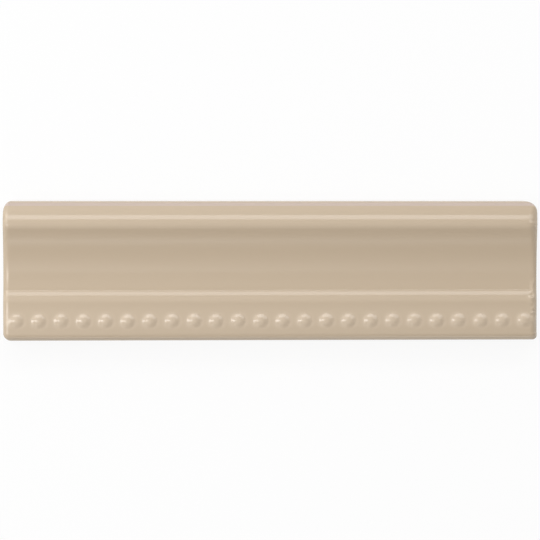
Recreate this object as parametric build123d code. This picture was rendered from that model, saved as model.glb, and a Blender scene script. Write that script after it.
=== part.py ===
from build123d import *
import math
import os

# One glazed moulding tile, fired as a single piece. Sizes are in millimetres and degrees.
# X runs along the tile, +Y points to its rolled edge, +Z out of its glazed face, and its back is Z = 0.
length = 200.0
width = 52.0
thickness = 13.0  # at the crest of the roll

# The roll along the +Y edge: a tight nose at the crest, then a larger arc that falls to the edge wall.
crest_set_back = 8.6  # from the +Y edge to the crest
nose_radius = 4.0
nose_tilt = 13.0  # lean of the face where the nose becomes the larger arc
roll_fall = 59.0  # lean of the face where that arc meets the edge wall

# The shallow cove below the roll, and the ovolo ledge that steps up from it to the bead band.
cove_radius = 43.7
crease_radius = 1.0  # glaze-filled line between cove and ledge
ledge_radius = 10.6
ledge_rise = 1.55
band_drop = 1.6  # the band lies this far below the crest of the roll
band_width = 13.4  # from the -Y edge to the top of the ledge

# Rounded edges.
edge_radius = 2.6  # both long front edges
end_radius = 2.1  # front edge and corners of both ends
corner_radius = 4.2  # the two ends of the roll, seen from the front

# The row of beads along the band.
bead_pitch = 8.25
bead_radius = 2.9  # at the edge of the soft foot
bead_shoulder = 1.6  # reach of the level handles at top and foot, which sets how full the dome is
bead_height = 0.65
bead_row = 7.8  # from the -Y edge to the middle of the row

# Keying grooves along the bare back.
key_count = 4
key_pitch = 11.0
key_width = 6.0
key_depth = 1.0
key_draft = 30.0  # lean of the groove walls


def leaning(tilt, reach):
    """A step in the section, straight out of the face at no tilt and turned towards +Y by the tilt."""
    return Vector(0, reach).rotate(Axis.Z, -tilt)


# Points of the section that follow from the sizes above, as (Y, Z).
nose_centre = Vector(width / 2 - crest_set_back, thickness - nose_radius)
nose_end = nose_centre + leaning(nose_tilt, nose_radius)
roll_sweep = math.sin(math.radians(roll_fall)) - math.sin(math.radians(nose_tilt))
roll_radius = (width / 2 - nose_end.X) / roll_sweep
roll_centre = nose_end - leaning(nose_tilt, roll_radius)
roll_end = roll_centre + leaning(roll_fall, roll_radius)
band_height = thickness - band_drop
ledge_top = Vector(band_width - width / 2, band_height)
ledge_centre = ledge_top - Vector(0, ledge_radius)
ledge_tilt = math.degrees(math.acos(1 - ledge_rise / ledge_radius))
crease = ledge_centre + leaning(ledge_tilt, ledge_radius)


def point_above(start, reach_start, end, reach_end):
    """The upper point at one distance from start and another from end, with start on the +Y side."""
    run = end - start
    along = (reach_start**2 - reach_end**2 + run.length**2) / (2 * run.length)
    aside = math.sqrt(reach_start**2 - along**2)
    direction = run.normalized()
    return start + direction * along + direction.rotate(Axis.Z, -90) * aside


def arc_between(start, end, centre):
    """The shorter arc around centre."""
    radius = (start - centre).length
    middle = centre + ((start + end) * 0.5 - centre).normalized() * radius
    return ThreePointArc(start, middle, end)


def section():
    """The moulded section, from the back up over band, ledge, cove and roll."""
    cove_centre = point_above(nose_centre, nose_radius + cove_radius, crease, cove_radius)
    cove_start = nose_centre + (cove_centre - nose_centre).normalized() * nose_radius
    foot = Vector(-width / 2, band_height)
    with BuildSketch(Plane.YZ) as moulding:
        with BuildLine():
            Polyline((width / 2, 0), (-width / 2, 0), foot, ledge_top)
            arc_between(ledge_top, crease, ledge_centre)
            arc_between(crease, cove_start, cove_centre)
            arc_between(cove_start, nose_end, nose_centre)
            arc_between(nose_end, roll_end, roll_centre)
            Line(roll_end, (width / 2, 0))
        make_face()
        for corner, radius in ((foot, edge_radius), (crease, crease_radius), (roll_end, edge_radius)):
            fillet(moulding.vertices().sort_by_distance(corner)[0], radius)
    return moulding.sketch


def soften_ends(body):
    """Rounds the front edge and the corners of both ends, and leaves the back edges square."""
    edges = ShapeList()
    for face in (body.faces().sort_by(Axis.X)[0], body.faces().sort_by(Axis.X)[-1]):
        edges += face.edges() - face.edges().group_by(Axis.Z)[0]
    return fillet(edges, min(end_radius, 0.9 * edge_radius))


def round_roll_corners(body):
    """Trims the two ends of the roll to a larger radius in plan."""
    plan = Rectangle(length, width)
    plan = fillet(plan.vertices().group_by(Axis.Y)[-1], corner_radius)
    return body & extrude(plan, amount=2 * thickness)


def key_grooves():
    """Drafted grooves over the whole length of the back."""
    mouth = key_width / 2
    floor = mouth - key_depth * math.tan(math.radians(key_draft))
    profile = Polyline((-mouth, 0), (mouth, 0), (floor, key_depth), (-floor, key_depth), close=True)
    groove = extrude(Plane.YZ * make_face(profile), amount=length, both=True)
    return [place * groove for place in GridLocations(0, key_pitch, 1, key_count)]


def beads():
    """Domes with a soft foot in one centred row, as many as the flat of the band takes."""
    top = Vector(0, bead_height)
    foot = Vector(bead_radius, 0)
    shoulder = Vector(bead_shoulder, 0)
    outline = Polyline(top, (0, 0), foot) + Bezier(foot, shoulder, shoulder + top, top)
    bead = revolve(Plane.XZ * make_face(outline), Axis.Z)
    flat = length - 2 * (end_radius + bead_radius)
    count = int(flat / bead_pitch) + 1
    row = Pos(0, bead_row - width / 2, band_height)
    return [row * place * bead for place in GridLocations(bead_pitch, 0, count, 1)]


def moulding_tile():
    body = extrude(section(), amount=length / 2, both=True)
    body = round_roll_corners(soften_ends(body))
    return body - key_grooves() + beads()


os.makedirs("parts", exist_ok=True)
export_step(moulding_tile(), "parts/moulding_tile.step")
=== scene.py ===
import math

import bpy
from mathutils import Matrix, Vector


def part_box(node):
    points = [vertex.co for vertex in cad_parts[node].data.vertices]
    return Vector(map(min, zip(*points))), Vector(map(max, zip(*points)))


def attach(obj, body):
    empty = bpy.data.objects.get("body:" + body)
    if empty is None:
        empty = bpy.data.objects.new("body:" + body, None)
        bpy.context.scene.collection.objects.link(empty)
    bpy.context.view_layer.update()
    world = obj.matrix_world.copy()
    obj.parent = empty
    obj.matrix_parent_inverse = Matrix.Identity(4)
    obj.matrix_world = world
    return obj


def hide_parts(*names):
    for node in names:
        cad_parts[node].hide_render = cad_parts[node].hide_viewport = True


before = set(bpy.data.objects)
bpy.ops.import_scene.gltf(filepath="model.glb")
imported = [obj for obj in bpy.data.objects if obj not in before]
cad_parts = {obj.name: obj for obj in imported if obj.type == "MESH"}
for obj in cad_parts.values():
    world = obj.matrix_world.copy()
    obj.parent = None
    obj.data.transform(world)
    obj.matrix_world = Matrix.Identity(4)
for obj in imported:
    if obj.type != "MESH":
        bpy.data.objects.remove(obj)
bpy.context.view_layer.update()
nodeName = "moulding_tile"
tileLow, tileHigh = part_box(nodeName)
length, width, thickness = tileHigh - tileLow
mm = 0.001
print("frame loaded:", [round(side / mm, 2) for side in (length, width, thickness)], "mm")


class Wire:  # a node's output socket that takes part in Python sums
    def __init__(self, bench, socket):
        self.bench = bench
        self.socket = socket

    def pick(self, name):  # another output of the same node
        return Wire(self.bench, self.socket.node.outputs[name])

    def __add__(self, other):
        return self.bench.maths("ADD", self, other)

    def __sub__(self, other):
        return self.bench.maths("SUBTRACT", self, other)

    def __rsub__(self, other):
        return self.bench.maths("SUBTRACT", other, self)

    def __mul__(self, other):
        return self.bench.maths("MULTIPLY", self, other)

    def __truediv__(self, other):
        return self.bench.maths("DIVIDE", self, other)

    def __rtruediv__(self, other):
        return self.bench.maths("DIVIDE", other, self)

    def __pow__(self, other):
        return self.bench.maths("POWER", self, other)

    def __abs__(self):
        return self.bench.maths("ABSOLUTE", self)

    def __neg__(self):
        return self * -1

    __radd__ = __add__
    __rmul__ = __mul__


class Bench:  # one node tree, and the ways to add to it
    def __init__(self, tree):
        self.tree = tree

    def add(self, kind, settings=None, sockets=None):
        node = self.tree.nodes.new(kind)
        for name, value in (settings or {}).items():
            setattr(node, name, value)
        for key, value in (sockets or {}).items():
            named = [socket for socket in node.inputs if socket.name == key and socket.enabled]
            target = named[0] if named else node.inputs[key]
            if isinstance(value, Wire):
                self.tree.links.new(value.socket, target)
            else:
                target.default_value = value
        shown = [socket for socket in node.outputs if socket.enabled]
        return Wire(self, shown[0]) if shown else node

    def maths(self, operation, *values):
        return self.add("ShaderNodeMath", {"operation": operation}, dict(enumerate(values)))

    def lower(self, first, second):
        return self.maths("MINIMUM", first, second)

    def higher(self, first, second):
        return self.maths("MAXIMUM", first, second)

    def root(self, value):
        return self.maths("SQRT", self.higher(value, 0))

    def step(self, value, low, high):  # soft step from 0 at low to 1 at high
        ends = {"Value": value, "From Min": low, "From Max": high}
        return self.add("ShaderNodeMapRange", {"interpolation_type": "SMOOTHSTEP"}, ends)

    def split(self, vector):
        axes = self.add("ShaderNodeSeparateXYZ", None, {0: vector})
        return [axes.pick(axis) for axis in "XYZ"]

    def join(self, *values):
        return self.add("ShaderNodeCombineXYZ", None, dict(enumerate(values)))

    def scaled(self, vector, factor):
        return self.add("ShaderNodeVectorMath", {"operation": "SCALE"}, {0: vector, "Scale": factor})

    def noise(self, vector, scale, detail=2.0, roughness=0.5):
        sockets = {"Vector": vector, "Scale": scale, "Detail": detail, "Roughness": roughness}
        return self.add("ShaderNodeTexNoise", None, sockets)

    def blend(self, share, first, second):  # colours
        return self.add("ShaderNodeMix", {"data_type": "RGBA"}, {"Factor": share, "A": first, "B": second})

    def carried(self, name, kind):  # what the section's points carry along
        return self.add("GeometryNodeInputNamedAttribute", {"data_type": kind}, {"Name": name})


def emptied(block):  # the node tree of a material or of the world, with nothing in it
    block.use_nodes = True
    block.node_tree.nodes.clear()
    return Bench(block.node_tree)


def placed(name, data):
    thing = bpy.data.objects.new(name, data)
    bpy.context.scene.collection.objects.link(thing)
    return thing


def rgba(colour):
    return (*colour, 1.0)


# Fired glaze over a pale pressed body. Each noise is given by its cells in a metre, detail and roughness

glazeFinish = dict(
    colour=(0.520, 0.415, 0.300),
    lighterColour=(0.590, 0.479, 0.359),  # lighter, along the crest and the ledge; also the painted brightness along the bead row and the painted highlight on the beads
    darkerColour=(0.486, 0.382, 0.270),  # darker, along the crease and along the foot
    toneShare=0.9,  # how far the lightest and the darkest places go towards those two
    mottle=0.10, mottleNoise=(45, 3, 0.6),  # darker colour that drifts over the face,
    speckle=0.06, speckleNoise=(900, 2),  # lies in specks
    streak=0.45, streakNoise=(420, 2), streakThin=0.04,  # and in faint lengthwise streaks
    floorReflectionColour=(0.54, 0.438, 0.378),  # painted reflection of the white floor: a pale band along the roll, in from the +Y edge:
    floorReflectionBand=(1.8 * mm, 1.5 * mm, 0.8 * mm, 0.2 * mm),  # where it starts, is full, begins to fade and ends
    floorReflectionHeights=(6.5 * mm, 8.0 * mm),  # it also fades in between these
    gloss=0.10, glossDrift=0.03, glossNoise=(60, 2),
    dullGloss=0.24, dullFrom=2.4 * mm, dullTo=1.4 * mm,  # drawn glaze round both ends, in from each end
    ior=1.52,
    lineHeight=3.2 * mm, lineSoft=0.35 * mm,  # lower edge of the glaze on the walls
    lineWave=2.2 * mm, lineNoise=(120, 3),  # how it wanders
    bodyColour=(0.66, 0.575, 0.465), bodyDark=(0.55, 0.465, 0.365), bodyRough=0.88,
    cloudShare=0.6, cloudNoise=(70, 3),  # what drifts between the two body colours
    grainShare=0.4, grainNoise=(1400, 5, 0.7), grainRelief=0.05 * mm,
    peelRelief=0.006 * mm, peelNoise=(420, 2), coatRelief=0.12 * mm,  # the glaze stands proud of the body
)


def firedGlaze(finish):
    material = bpy.data.materials.new("fired glaze")
    bench = emptied(material)
    place = bench.add("ShaderNodeTexCoord").pick("Object")
    along, across, height = bench.split(place)

    wander = bench.noise(place, *finish["lineNoise"]) - 0.5
    line = height + wander * (2 * finish["lineWave"])
    lineLow, lineHigh = (finish["lineHeight"] + side * finish["lineSoft"] for side in (-1, 1))
    glazed = bench.step(line, lineLow, lineHigh)

    # lighter and darker places along the tile, with the painted highlight on the beads and the painted
    # brightness along their row
    toneShift = bench.add("ShaderNodeAttribute", {"attribute_name": "paintedHighlightAndTone"}).pick("Fac")
    drawnOut = bench.join(along * finish["streakThin"], across, height)
    darker = bench.step(toneShift, 0.0, 1.0) * finish["toneShare"]
    for name, where in (("mottle", place), ("speckle", place), ("streak", drawnOut)):
        darker = darker + (bench.noise(where, *finish[name + "Noise"]) - 0.5) * finish[name]
    lighter = bench.step(-toneShift, 0.0, 1.0) * finish["toneShare"]
    # painted reflection of the floor, as a pale band along the roll's outer edge
    fromEdge = tileHigh.y - across
    edgeStart, fullFrom, fullTo, edgeEnd = finish["floorReflectionBand"]
    pale = bench.step(fromEdge, edgeStart, fullFrom) * bench.step(fromEdge, edgeEnd, fullTo)
    pale = pale * bench.step(height, *finish["floorReflectionHeights"])
    colour = bench.blend(darker, rgba(finish["colour"]), rgba(finish["darkerColour"]))
    colour = bench.blend(lighter, colour, rgba(finish["lighterColour"]))
    colour = bench.blend(pale, colour, rgba(finish["floorReflectionColour"]))

    grain = bench.noise(place, *finish["grainNoise"])
    cloud = bench.noise(place, *finish["cloudNoise"])
    bodyShare = cloud * finish["cloudShare"] + grain * finish["grainShare"]
    body = bench.blend(bodyShare, rgba(finish["bodyDark"]), rgba(finish["bodyColour"]))
    base = bench.blend(glazed, body, colour)

    shine = finish["gloss"] + (bench.noise(place, *finish["glossNoise"]) - 0.5) * (2 * finish["glossDrift"])
    dull = bench.step(tileHigh.x - abs(along), finish["dullFrom"], finish["dullTo"])
    shine = shine + dull * (finish["dullGloss"] - finish["gloss"])
    rough = finish["bodyRough"] + (shine - finish["bodyRough"]) * glazed

    peel = bench.noise(place, *finish["peelNoise"]) * finish["peelRelief"]
    relief = grain * finish["grainRelief"] * (1 - glazed) + (peel + finish["coatRelief"]) * glazed
    bumps = bench.add("ShaderNodeBump", None, {"Strength": 1.0, "Distance": 1.0, "Height": relief})
    shader = bench.add("ShaderNodeBsdfPrincipled", None, {
        "Base Color": base, "Roughness": rough, "Normal": bumps, "IOR": finish["ior"]})
    bench.add("ShaderNodeOutputMaterial", None, {"Surface": shader})
    print("glaze mixed:", len(material.node_tree.nodes), "nodes")
    return material


# The moulded section: a loop of points, each with the lean of the face and the radius of its bend there

mouldingSizes = dict(
    crestSetBack=8.6 * mm, noseRadius=4.0 * mm, noseTilt=13.0, rollFall=59.0,
    coveRadius=43.7 * mm, creaseRadius=1.0 * mm,
    ledgeRadius=10.6 * mm, ledgeRise=1.55 * mm, bandDrop=1.6 * mm, bandWidth=13.4 * mm,
    edgeRadius=2.6 * mm, backEdge=0.4 * mm,
    keyCount=4, keyPitch=11.0 * mm, keyWidth=6.0 * mm, keyDepth=1.0 * mm, keyDraft=30.0,
    roundLeft=2.1 * mm, roundRight=3.0 * mm,  # front edge of the two ends
    riseLeft=0.0, riseRight=2.5,  # how fast that rounding grows with the height of the face
    wallLeft=3.0 * mm, wallRight=1.5 * mm,  # upright edges of the two ends
    wallTilt=45.0, wallGrow=4.0 * mm,  # a face that leans more is a wall, rounded more up to this height
    roundShare=0.94,  # most that the rounding may take of a bend's radius
    creaseStep=0.107 * mm, fineStep=0.32 * mm, footStep=0.384 * mm, ledgeStep=0.416 * mm,
    rollStep=0.512 * mm, coveStep=0.95 * mm, wallStep=1.6 * mm,  # spacing of the points
)
bandHeight = thickness - mouldingSizes["bandDrop"]
noBend = 1.0  # radius, in metres, for a face whose bend limits nothing


def leaning(tilt):  # a face's direction in the section, from straight up towards +Y
    return Vector((math.sin(math.radians(tilt)), math.cos(math.radians(tilt))))


def tiltOf(direction):
    return math.degrees(math.atan2(direction.x, direction.y))


def meetAbove(first, firstReach, second, secondReach):  # the upper meeting point of two circles
    run = second - first
    along = (firstReach**2 - secondReach**2 + run.length_squared) / (2 * run.length)
    aside = math.sqrt(firstReach**2 - along**2)
    ahead = run.normalized()
    return first + ahead * along + Vector((ahead.y, -ahead.x)) * aside


def arcRun(centre, radius, startTilt, endTilt, spacing):  # a negative radius gives a hollow arc
    count = max(2, math.ceil(abs(radius * math.radians(endTilt - startTilt)) / spacing))
    tilts = [startTilt + (endTilt - startTilt) * i / count for i in range(count)]
    return [(centre + leaning(tilt) * radius, tilt, radius if radius > 0 else noBend) for tilt in tilts]


def lineRun(start, end, tilt, spacing):
    count = max(1, math.ceil((end - start).length / spacing))
    return [(start.lerp(end, i / count), tilt, noBend) for i in range(count)]


def backRun(moulding):  # the bare back with its keying grooves, from -Y to +Y
    mouth = moulding["keyWidth"] / 2
    deep = moulding["keyDepth"]
    floor = mouth - deep * math.tan(math.radians(moulding["keyDraft"]))
    points = []
    for i in range(moulding["keyCount"]):
        middle = (i - (moulding["keyCount"] - 1) / 2) * moulding["keyPitch"]
        for aside, up in ((-mouth, 0), (-floor, deep), (floor, deep), (mouth, 0)):
            points.append((Vector((middle + aside, up)), 180, noBend))
    return points


def sectionLoop(moulding):
    half = width / 2
    noseRadius, coveRadius, creaseRadius, ledgeRadius, edgeRadius = [
        moulding[part + "Radius"] for part in ("nose", "cove", "crease", "ledge", "edge")]
    noseTilt = moulding["noseTilt"]
    nose = Vector((half - moulding["crestSetBack"], thickness - noseRadius))
    noseEnd = nose + leaning(noseTilt) * noseRadius
    sweep = math.sin(math.radians(moulding["rollFall"])) - math.sin(math.radians(noseTilt))
    rollRadius = (half - noseEnd.x) / sweep
    roll = noseEnd - leaning(noseTilt) * rollRadius
    ledgeTop = Vector((moulding["bandWidth"] - half, bandHeight))
    ledge = ledgeTop - Vector((0, ledgeRadius))
    ledgeTilt = math.degrees(math.acos(1 - moulding["ledgeRise"] / ledgeRadius))
    foldPoint = ledge + leaning(ledgeTilt) * ledgeRadius
    cove = meetAbove(nose, noseRadius + coveRadius, foldPoint, coveRadius)
    crease = meetAbove(ledge, ledgeRadius + creaseRadius, cove, coveRadius - creaseRadius)
    edgeReach = rollRadius - edgeRadius
    edgeAside = half - edgeRadius - roll.x
    edge = roll + Vector((edgeAside, math.sqrt(edgeReach**2 - edgeAside**2)))
    foot = Vector((edgeRadius - half, bandHeight - edgeRadius))
    corner = moulding["backEdge"]
    edgeTilt, noseFall = tiltOf(edge - roll), tiltOf(cove - nose)
    coveEnd, ledgeStart = tiltOf(cove - crease), tiltOf(crease - ledge)
    fine, wall = moulding["fineStep"], moulding["wallStep"]
    loop = backRun(moulding)
    loop += arcRun(Vector((half - corner, corner)), corner, 180, 90, corner)
    loop += lineRun(Vector((half, corner)), Vector((half, edge.y)), 90, wall)
    loop += arcRun(edge, edgeRadius, 90, edgeTilt, fine)
    loop += arcRun(roll, rollRadius, edgeTilt, noseTilt, moulding["rollStep"])
    loop += arcRun(nose, noseRadius, noseTilt, noseFall, fine)
    loop += arcRun(cove, -coveRadius, noseFall, coveEnd, moulding["coveStep"])
    loop += arcRun(crease, -creaseRadius, coveEnd, ledgeStart, moulding["creaseStep"])
    loop += arcRun(ledge, ledgeRadius, ledgeStart, 0, moulding["ledgeStep"])
    loop += lineRun(ledgeTop, Vector((foot.x, bandHeight)), 0, fine)
    loop += arcRun(foot, edgeRadius, 0, -90, moulding["footStep"])
    loop += lineRun(Vector((-half, foot.y)), Vector((-half, corner)), -90, wall)
    loop += arcRun(Vector((corner - half, corner)), corner, -90, -180, corner)
    return loop


def endRound(moulding, side, point, tilt, bend):  # how far an end is rounded at this place of the loop
    front, rise, wall = (moulding[name + side] for name in ("round", "rise", "wall"))
    backEdge, wallTilt = moulding["backEdge"], moulding["wallTilt"]
    if abs(tilt) > 90:
        return backEdge
    front = front * max(0, point.y / bandHeight) ** rise
    upright = backEdge + (wall - backEdge) * min(1, point.y / moulding["wallGrow"])
    share = max(0, abs(tilt) - wallTilt) / (90 - wallTilt)
    return min(front + (upright - front) * share, moulding["roundShare"] * bend)


def sectionObject(moulding):
    loop = sectionLoop(moulding)
    count = len(loop)
    points = [(-point.x, -point.y, 0) for point, tilt, bend in loop]  # the sweep gives it half a turn
    mesh = bpy.data.meshes.new("section")
    mesh.from_pydata(points, [(i, (i + 1) % count) for i in range(count)], [])
    outward = mesh.attributes.new("outward", "FLOAT_VECTOR", "POINT")
    outward.data.foreach_set("vector", [part for point, tilt, bend in loop for part in (0, *leaning(tilt))])
    for side in ("Left", "Right"):
        rounding = mesh.attributes.new("round" + side, "FLOAT", "POINT")
        rounding.data.foreach_set("value", [endRound(moulding, side, *at) for at in loop])
    print("section:", count, "points")
    return placed("rolled_bead_tile", mesh)


# The tile itself: the section drawn along X, its ends rounded, and the bead row raised on its band

tileShape = dict(
    middleColumns=570, endColumns=14, endZone=5.0 * mm,
    cornerLeftX=2.8 * mm, cornerLeftY=4.6 * mm,  # the roll's two ends in plan
    cornerRightX=4.2 * mm, cornerRightY=4.5 * mm,
    footLeft=3.0 * mm, footRight=1.7 * mm,  # the two corners below the beads
    cornerSoft=0.4 * mm,
    beadPitch=8.25 * mm, beadRow=7.7 * mm, beadHeight=0.70 * mm, beadFull=1.35,
    beadAside=3.1 * mm, beadAbove=2.9 * mm, beadBelow=3.2 * mm,
    beadUneven=0.06, beadStray=0.10 * mm, seed=7,
    bandSwell=0.36 * mm, bandRise=8.0 * mm,  # the band rises a little from the ledge to below the beads
    faceLow=1.2 * mm, faceHigh=0.4 * mm,  # below the band, where its relief fades out
    frontLow=4.0 * mm, frontHigh=7.0 * mm,  # heights on the walls where the glaze's relief fades out
    endBare=0.2 * mm, endFull=1.2 * mm,  # and so close to each end
    wave=0.012 * mm, waveLength=26.0 * mm, waveStretch=0.45,  # slow swell of the fired glaze
    lump=0.36 * mm, lumpSize=1.6 * mm, lumpFrom=0.45, lumpFull=0.65,  # drops of glaze at the right end,
    lumpReach=3.8 * mm, lumpSolid=2.4 * mm,  # so far in from it
    lumpLow=5.5 * mm, lumpLowFull=8.0 * mm,  # and between these, up from the -Y edge
    lumpHigh=25.0 * mm, lumpHighFull=22.0 * mm,
    capWide=1.5, capFull=0.3, paintedHighlightShare=-0.9,  # painted highlight on a bead, by the distance from its peak,
    capFade=0.5, capFadeFrom=-0.2, capFadeFull=0.6,  # and less of it on the side of the roll
    sharpAngle=math.radians(38.0),
)
ledgeY = tileLow.y + mouldingSizes["bandWidth"]
ledgeFoot = mouldingSizes["ledgeRadius"] - mouldingSizes["ledgeRise"]  # crease above the arc's centre
creaseY = ledgeY + math.sqrt(mouldingSizes["ledgeRadius"]**2 - ledgeFoot**2)

# darker (+) and lighter (-) stripes along the tile: middle, half width, half width where full, share
toneStripes = dict(
    crease=(creaseY, 1.6 * mm, 0.2 * mm, 0.4),
    crest=(tileHigh.y - mouldingSizes["crestSetBack"], 4.0 * mm, 0.5 * mm, -0.3),
    ledge=(ledgeY + 2.5 * mm, 1.8 * mm, 0.4 * mm, -0.45),
    # painted brightness: lighter along the bead row, in place of light
    row=(tileLow.y + tileShape["beadRow"], 8.0 * mm, 3.0 * mm, -0.45),
    foot=(tileLow.y, 6.7 * mm, 3.7 * mm, 0.5),
)


def position(bench):
    return bench.split(bench.add("GeometryNodeInputPosition"))


def bySide(bench, left, right):  # one value on the tile's left half and another on its right
    return left + (right - left) * bench.maths("GREATER_THAN", position(bench)[0], 0)


def sweepBar(bench, size):  # a line along X, with its points close together near the ends
    last = size["middleColumns"] + size["endColumns"] * 2
    line = bench.add("GeometryNodeCurvePrimitiveLine", None, {"Start": (-1, 0, 0), "End": (1, 0, 0)})
    bar = bench.add("GeometryNodeResampleCurve", {"mode": "COUNT"}, {"Curve": line, "Count": last + 1})
    index = bench.add("GeometryNodeInputIndex")
    fromEnd = bench.lower(index, last - index)
    turn = bench.lower(fromEnd / size["endColumns"], 1) * (math.pi / 2)
    pitch = (size["length"] - size["endZone"] * 2) / size["middleColumns"]
    inward = size["endZone"] * (1 - bench.maths("COSINE", turn))
    inward = inward + bench.higher(fromEnd - size["endColumns"], 0) * pitch
    at = bench.maths("SIGN", index - last * 0.5) * (size["length"] * 0.5 - inward)
    return bench.add("GeometryNodeSetPosition", None, {"Geometry": bar, "Position": bench.join(at, 0, 0)})


def roundedEnds(bench, size, body, outward):
    x = position(bench)[0]
    radius = bySide(bench, bench.carried("roundLeft", "FLOAT"), bench.carried("roundRight", "FLOAT"))
    over = bench.higher(abs(x) - (size["length"] * 0.5 - radius), 0)
    inset = radius - bench.root(radius * radius - over * over)
    pulled = bench.scaled(outward, -inset)
    return bench.add("GeometryNodeSetPosition", None, {"Geometry": body, "Offset": pulled})


def trimmedCorners(bench, size, body):  # the four corners in plan
    x, y, z = position(bench)

    def widthLeft(reachX, reachY):  # half of the width that is left there, and how soft the trim is
        over = bench.lower(bench.higher(abs(x) - (size["length"] * 0.5 - reachX), 0) / reachX, 1)
        limit = size["width"] * 0.5 - reachY * (1 - bench.root(1 - over * over))
        return limit, size["cornerSoft"] * bench.lower(over * 2, 1)

    reaches = [bySide(bench, size["cornerLeft" + axis], size["cornerRight" + axis]) for axis in "XY"]
    limit, soft = widthLeft(*reaches)
    trimmed = bench.maths("SMOOTH_MIN", y, limit, soft)
    reach = bySide(bench, size["footLeft"], size["footRight"])
    limit, soft = widthLeft(reach, reach)
    trimmed = bench.maths("SMOOTH_MAX", trimmed, -limit, soft)
    where = bench.join(x, trimmed, z)
    return bench.add("GeometryNodeSetPosition", None, {"Geometry": body, "Position": where})


def beadPlace(bench, size):  # where a point lies on its bead: 0 at the peak and 1 at the foot
    x, y, z = position(bench)
    number = bench.maths("FLOOR", x / size["beadPitch"])

    def uneven(reach, draw):  # one random value for each bead
        sockets = {"Min": -reach, "Max": reach, "ID": number, "Seed": size["seed"] + draw}
        return bench.add("FunctionNodeRandomValue", {"data_type": "FLOAT"}, sockets)

    acrossX = x - (number + 0.5) * size["beadPitch"] - uneven(size["beadStray"], 0)
    acrossX = acrossX / size["beadAside"]
    acrossY = y + size["width"] * 0.5 - size["beadRow"] - uneven(size["beadStray"], 1)
    acrossY = bench.higher(acrossY, 0) / size["beadAbove"] + bench.lower(acrossY, 0) / size["beadBelow"]
    away = bench.root(acrossX * acrossX + acrossY * acrossY)
    return away, acrossY, uneven(size["beadUneven"], 2)


def raisedBeads(bench, size, body, onFace, away, uneven):  # low bells that rise out of the band
    y = position(bench)[1]
    share = bench.lower(away, 1) ** size["beadFull"]
    bell = size["beadHeight"] * (1 + uneven) * (bench.maths("COSINE", share * math.pi) + 1) * 0.5
    onBand = bench.step(y, size["ledgeY"], size["ledgeY"] - size["bandRise"])
    raised = (bell + onBand * size["bandSwell"]) * onFace
    return bench.add("GeometryNodeSetPosition", None, {"Geometry": body, "Offset": bench.join(0, 0, raised)})


def swollenGlaze(bench, size, body, onFront, outward):  # a slow swell, and the drops at the right end
    place = bench.add("GeometryNodeInputPosition")
    x, y, z = bench.split(place)
    stretched = bench.scaled(bench.join(x * size["waveStretch"], y, z), 1 / size["waveLength"])
    swell = (bench.noise(stretched, 1, detail=1) - 0.5) * 2 * size["wave"]
    speck = bench.noise(place, 1 / size["lumpSize"], detail=1)
    drops = bench.step(speck, size["lumpFrom"], size["lumpFull"]) * size["lump"]
    drops = drops * bench.step(size["length"] * 0.5 - x, size["lumpReach"], size["lumpSolid"])
    up = y + size["width"] * 0.5
    drops = drops * bench.step(up, size["lumpLow"], size["lumpLowFull"])
    drops = drops * bench.step(up, size["lumpHigh"], size["lumpHighFull"])
    inside = bench.step(size["length"] * 0.5 - abs(x), size["endBare"], size["endFull"])
    lift = bench.scaled(outward, (swell + drops - size["wave"]) * onFront * inside)
    return bench.add("GeometryNodeSetPosition", None, {"Geometry": body, "Offset": lift})


def paintedHighlightAndTone(bench, size, body, onFace, onFront, away, acrossY):  # darker in the crease and along the foot, lighter along the crest and ledge; painted brightness along the bead row and a painted highlight on each bead
    y = position(bench)[1]

    def stripe(name):
        aside = abs(y - size[name + "At"])
        return bench.step(aside, size[name + "Wide"], size[name + "Solid"]) * size[name + "Share"]

    # painted highlight on each bead, fading out from its peak and weaker on its side towards the roll
    fade = bench.step(acrossY, size["capFadeFrom"], size["capFadeFull"]) * size["capFade"]
    paintedHighlight = bench.step(away, size["capWide"], size["capFull"]) * (1 - fade) * size["paintedHighlightShare"]
    stripes = stripe("crease") + stripe("crest") + stripe("ledge") + stripe("foot")
    toneShift = (paintedHighlight + stripe("row")) * onFace + stripes * onFront
    return bench.add("GeometryNodeStoreNamedAttribute", {"data_type": "FLOAT", "domain": "POINT"}, {
        "Geometry": body, "Name": "paintedHighlightAndTone", "Value": toneShift})


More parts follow.
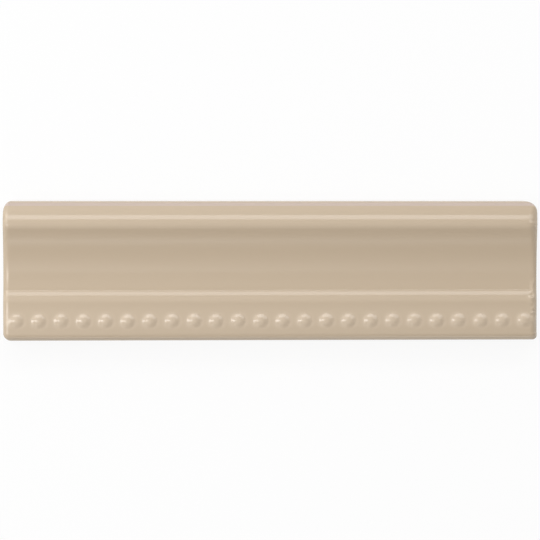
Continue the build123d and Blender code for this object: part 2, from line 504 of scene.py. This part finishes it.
def tileTree(sizes):
    tree = bpy.data.node_groups.new("rolled bead tile", "GeometryNodeTree")
    tree.interface.new_socket("Geometry", in_out="INPUT", socket_type="NodeSocketGeometry")
    tree.interface.new_socket("Geometry", in_out="OUTPUT", socket_type="NodeSocketGeometry")
    kinds = {float: "NodeSocketFloat", int: "NodeSocketInt", bpy.types.Material: "NodeSocketMaterial"}
    keys = {}
    for name, value in sizes.items():
        socket = tree.interface.new_socket(name, in_out="INPUT", socket_type=kinds[type(value)])
        keys[name] = socket.identifier
    bench = Bench(tree)
    given = bench.add("NodeGroupInput")
    size = {name: given.pick(name) for name in keys}
    outward = bench.carried("outward", "FLOAT_VECTOR")
    z = position(bench)[2]
    onFace = bench.step(z, size["bandHeight"] - size["faceLow"], size["bandHeight"] - size["faceHigh"])
    onFront = bench.step(z, size["frontLow"], size["frontHigh"])
    away, acrossY, uneven = beadPlace(bench, size)

    loop = bench.add("GeometryNodeMeshToCurve", None, {0: given.pick("Geometry")})
    body = bench.add("GeometryNodeCurveToMesh", None, {
        "Curve": sweepBar(bench, size), "Profile Curve": loop, "Fill Caps": True})
    body = roundedEnds(bench, size, body, outward)
    body = trimmedCorners(bench, size, body)
    body = raisedBeads(bench, size, body, onFace, away, uneven)
    body = swollenGlaze(bench, size, body, onFront, outward)
    body = paintedHighlightAndTone(bench, size, body, onFace, onFront, away, acrossY)
    sharp = bench.maths("GREATER_THAN", bench.add("GeometryNodeInputMeshEdgeAngle"), size["sharpAngle"])
    body = bench.add("GeometryNodeSetShadeSmooth", {"domain": "EDGE"}, {
        "Geometry": body, "Selection": sharp, "Shade Smooth": False})
    body = bench.add("GeometryNodeRealizeInstances", None, {"Geometry": body})
    body = bench.add("GeometryNodeSetMaterial", None, {"Geometry": body, "Material": size["glaze"]})
    bench.add("NodeGroupOutput", None, {"Geometry": body})
    return tree, keys


def rolledTile(shape, stripes, glaze):
    host = sectionObject(mouldingSizes)
    sizes = dict(shape, length=length, width=width, bandHeight=bandHeight, ledgeY=ledgeY, glaze=glaze)
    for name, stripe in stripes.items():
        for part, value in zip(("At", "Wide", "Solid", "Share"), stripe):
            sizes[name + part] = value
    tree, keys = tileTree(sizes)
    drawn = host.modifiers.new("drawn along X", "NODES")
    drawn.node_group = tree
    for name, value in sizes.items():
        drawn[keys[name]] = value
    evaluated = host.evaluated_get(bpy.context.evaluated_depsgraph_get())
    mesh = bpy.data.meshes.new_from_object(evaluated)
    host.modifiers.clear()
    host.data = mesh
    for name in ("outward", "roundLeft", "roundRight"):
        mesh.attributes.remove(mesh.attributes[name])
    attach(host, "root")
    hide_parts(nodeName)
    triangles = sum(len(face.vertices) - 2 for face in mesh.polygons)
    print("tile:", len(mesh.vertices), "points,", triangles, "triangles")


rolledTile(tileShape, toneStripes, firedGlaze(glazeFinish))


# A pale floor, a white room, a long softbox above the roll and a wide one at the left

floorFinish = dict(
    size=6.0, drop=0.15 * mm, colour=(0.86, 0.86, 0.86),
    white=(1.0, 1.0, 1.0), glow=0.88,  # share of white in what is seen or mirrored of it
)


def paleFloor(finish):
    half = finish["size"] / 2
    mesh = bpy.data.meshes.new("floor")
    corners = [(-half, -half), (half, -half), (half, half), (-half, half)]
    mesh.from_pydata([(x, y, tileLow.z - finish["drop"]) for x, y in corners], [], [(0, 1, 2, 3)])
    material = bpy.data.materials.new("white paper")
    bench = emptied(material)
    path = bench.add("ShaderNodeLightPath")
    seen = bench.higher(path.pick("Is Camera Ray"), path.pick("Is Glossy Ray"))
    seen = bench.higher(seen, path.pick("Is Transmission Ray"))
    paper = bench.add("ShaderNodeBsdfDiffuse", None, {"Color": rgba(finish["colour"])})
    bright = bench.add("ShaderNodeEmission", None, {"Color": rgba(finish["white"]), "Strength": 1.0})
    mixed = bench.add("ShaderNodeMixShader", None, {0: seen * finish["glow"], 1: paper, 2: bright})
    bench.add("ShaderNodeOutputMaterial", None, {"Surface": mixed})
    mesh.materials.append(material)
    placed("floor", mesh)


roomLight = dict(fill=0.645, leftLift=0.17, backLift=0.25)  # the room is brighter towards -X and +Y


def whiteRoom(light):
    world = bpy.data.worlds.new("room")
    bpy.context.scene.world = world
    bench = emptied(world)
    x, y, z = bench.split(bench.add("ShaderNodeTexCoord").pick("Generated"))
    level = light["fill"] * (1 - x * light["leftLift"] + y * light["backLift"])
    seen = bench.add("ShaderNodeLightPath").pick("Is Camera Ray")
    level = level + (1 - level) * seen
    grey = bench.join(level, level, level)
    glow = bench.add("ShaderNodeBackground", None, {"Color": grey, "Strength": 1.0})
    bench.add("ShaderNodeOutputWorld", None, {"Surface": glow})


# lean is the angle from straight up towards +Y, and turn from straight up towards +X, in degrees
lamps = dict(
    longBox=dict(
        lean=43.5, turn=0.0, away=1.0, shiftX=0.02, wide=1.0, tall=0.275, radiance=2.75, mirrored=True),
    leftBox=dict(
        lean=8.0, turn=-45.0, away=1.0, shiftX=0.0, wide=1.0, tall=0.9, radiance=1.6, mirrored=False),
)


def softbox(name, lamp):
    light = bpy.data.lights.new(name, "AREA")
    light.shape = "RECTANGLE"
    light.size, light.size_y = lamp["wide"], lamp["tall"]
    light.energy = lamp["radiance"] * math.pi * lamp["wide"] * lamp["tall"]
    box = placed(name, light)
    turn, lean = (math.tan(math.radians(lamp[angle])) for angle in ("turn", "lean"))
    facing = Vector((turn, lean, 1)).normalized()
    box.location = facing * lamp["away"] + Vector((lamp["shiftX"], 0, 0))
    box.rotation_mode = "QUATERNION"
    box.rotation_quaternion = facing.to_track_quat("Z", "Y")
    box.visible_camera = False
    box.visible_glossy = lamp["mirrored"]


# what only the glaze mirrors: an arched tent, brighter to the left, and cards in front of it
tent = dict(
    radius=2.0, side=3.0, sideFall=0.75, darkest=0.3, brightest=1.4,
    glow=(  # lean of the tent's cloth and its brightness there
        (-89, 1.0), (-62, 0.9), (-56, 0.5), (-51, 0.12), (-45, 0.07), (-41, 0.3), (-38.5, 0.5),
        (-36, 0.95), (-33.5, 1.4), (-31, 0.9), (-28.5, 0.45), (-25, 0.3), (-22, 0.32), (-18, 0.45),
        (-13, 0.75), (-8, 1.1), (-4.6, 1.2), (-3.4, 0.7), (3, 0.65), (5, 0.85), (14, 0.85),
        (36, 0.85), (51, 1.1), (89, 1.15)),
)
cards = dict(
    leftWing=dict(leans=(36.1, 50.9), sides=(-1.4, -0.48), away=1.0, glow=4.0),
    rightWing=dict(leans=(36.1, 50.9), sides=(0.52, 1.4), away=1.0, glow=2.4),
    rightSlope=dict(leans=(19.0, 36.1), sides=(0.42, 0.95), away=1.0, glow=2.3),
    leftCorner=dict(leans=(50.9, 66.0), sides=(-1.2, -0.42), away=1.0, glow=6.0),
    sideStrip=dict(leans=(-8.0, 6.0), sides=(-1.15, -0.42), away=0.9, glow=6.8),
    nearStrip=dict(leans=(-6.0, 4.0), sides=(-0.42, -0.27), away=0.9, glow=4.0),
    frontCard=dict(leans=(-88.0, -50.5), sides=(-1.6, 1.6), away=1.5, glow=1.9),
)


def mirroredSheet(name, rows, left, right, sideFall=0.0, darkest=1.0, brightest=1.0):
    mesh = bpy.data.meshes.new(name)
    points = [(side, *at) for at, glow in rows for side in (left, right)]
    mesh.from_pydata(points, [], [(2 * i, 2 * i + 1, 2 * i + 3, 2 * i + 2) for i in range(len(rows) - 1)])
    glows = mesh.attributes.new("glow", "FLOAT", "POINT")
    glows.data.foreach_set("value", [glow for at, glow in rows for side in (left, right)])
    sheet = placed(name, mesh)
    material = bpy.data.materials.new(name)
    bench = emptied(material)
    x = bench.split(bench.add("ShaderNodeTexCoord").pick("Object"))[0]
    share = bench.lower(bench.higher(1 - x * sideFall, darkest), brightest)
    level = bench.add("ShaderNodeAttribute", {"attribute_name": "glow"}).pick("Fac") * share
    grey = bench.join(level, level, level)
    light = bench.add("ShaderNodeEmission", None, {"Color": grey, "Strength": 1.0})
    bench.add("ShaderNodeOutputMaterial", None, {"Surface": light})
    mesh.materials.append(material)
    for way in ("camera", "diffuse", "transmission", "volume_scatter", "shadow"):
        setattr(sheet, "visible_" + way, False)


def mirroredTent(cloth):
    rows = [(leaning(lean) * cloth["radius"], glow) for lean, glow in cloth["glow"]]
    falls = (cloth[name] for name in ("sideFall", "darkest", "brightest"))
    mirroredSheet("tent", rows, -cloth["side"], cloth["side"], *falls)


def mirroredCard(name, card):
    rows = [(leaning(lean) * card["away"], card["glow"]) for lean in card["leans"]]
    mirroredSheet(name, rows, *card["sides"])


paleFloor(floorFinish)
whiteRoom(roomLight)
for lampName, lampSizes in lamps.items():
    softbox(lampName, lampSizes)
mirroredTent(tent)
for cardName, cardSizes in cards.items():
    mirroredCard(cardName, cardSizes)
print("floor, room, tent,", len(lamps), "lamps and", len(cards), "cards set")


# The camera looks down on the tile, a little from the left and from the side of the roll

cameraView = dict(
    away=1.0, aim=(-0.07 * mm, -0.12 * mm, 0.0),
    yaw=-2.81, pitch=-2.85, roll=0.07,  # degrees
    sensor=36.0, focalPixels=2649.4, imagePixels=540,
    nearest=0.01, farthest=50.0,
)


def lookDown(view):
    lens = bpy.data.cameras.new("camera")
    lens.sensor_width = view["sensor"]
    lens.lens = view["focalPixels"] / view["imagePixels"] * view["sensor"]
    lens.clip_start, lens.clip_end = view["nearest"], view["farthest"]
    eye = placed("camera", lens)
    eye.rotation_mode = "ZXY"
    eye.rotation_euler = [math.radians(view[turn]) for turn in ("pitch", "yaw", "roll")]
    back = eye.rotation_euler.to_matrix() @ Vector((0, 0, view["away"]))
    eye.location = back + Vector(view["aim"])
    bpy.context.scene.camera = eye


lookDown(cameraView)
bpy.context.scene.view_settings.view_transform = "Standard"
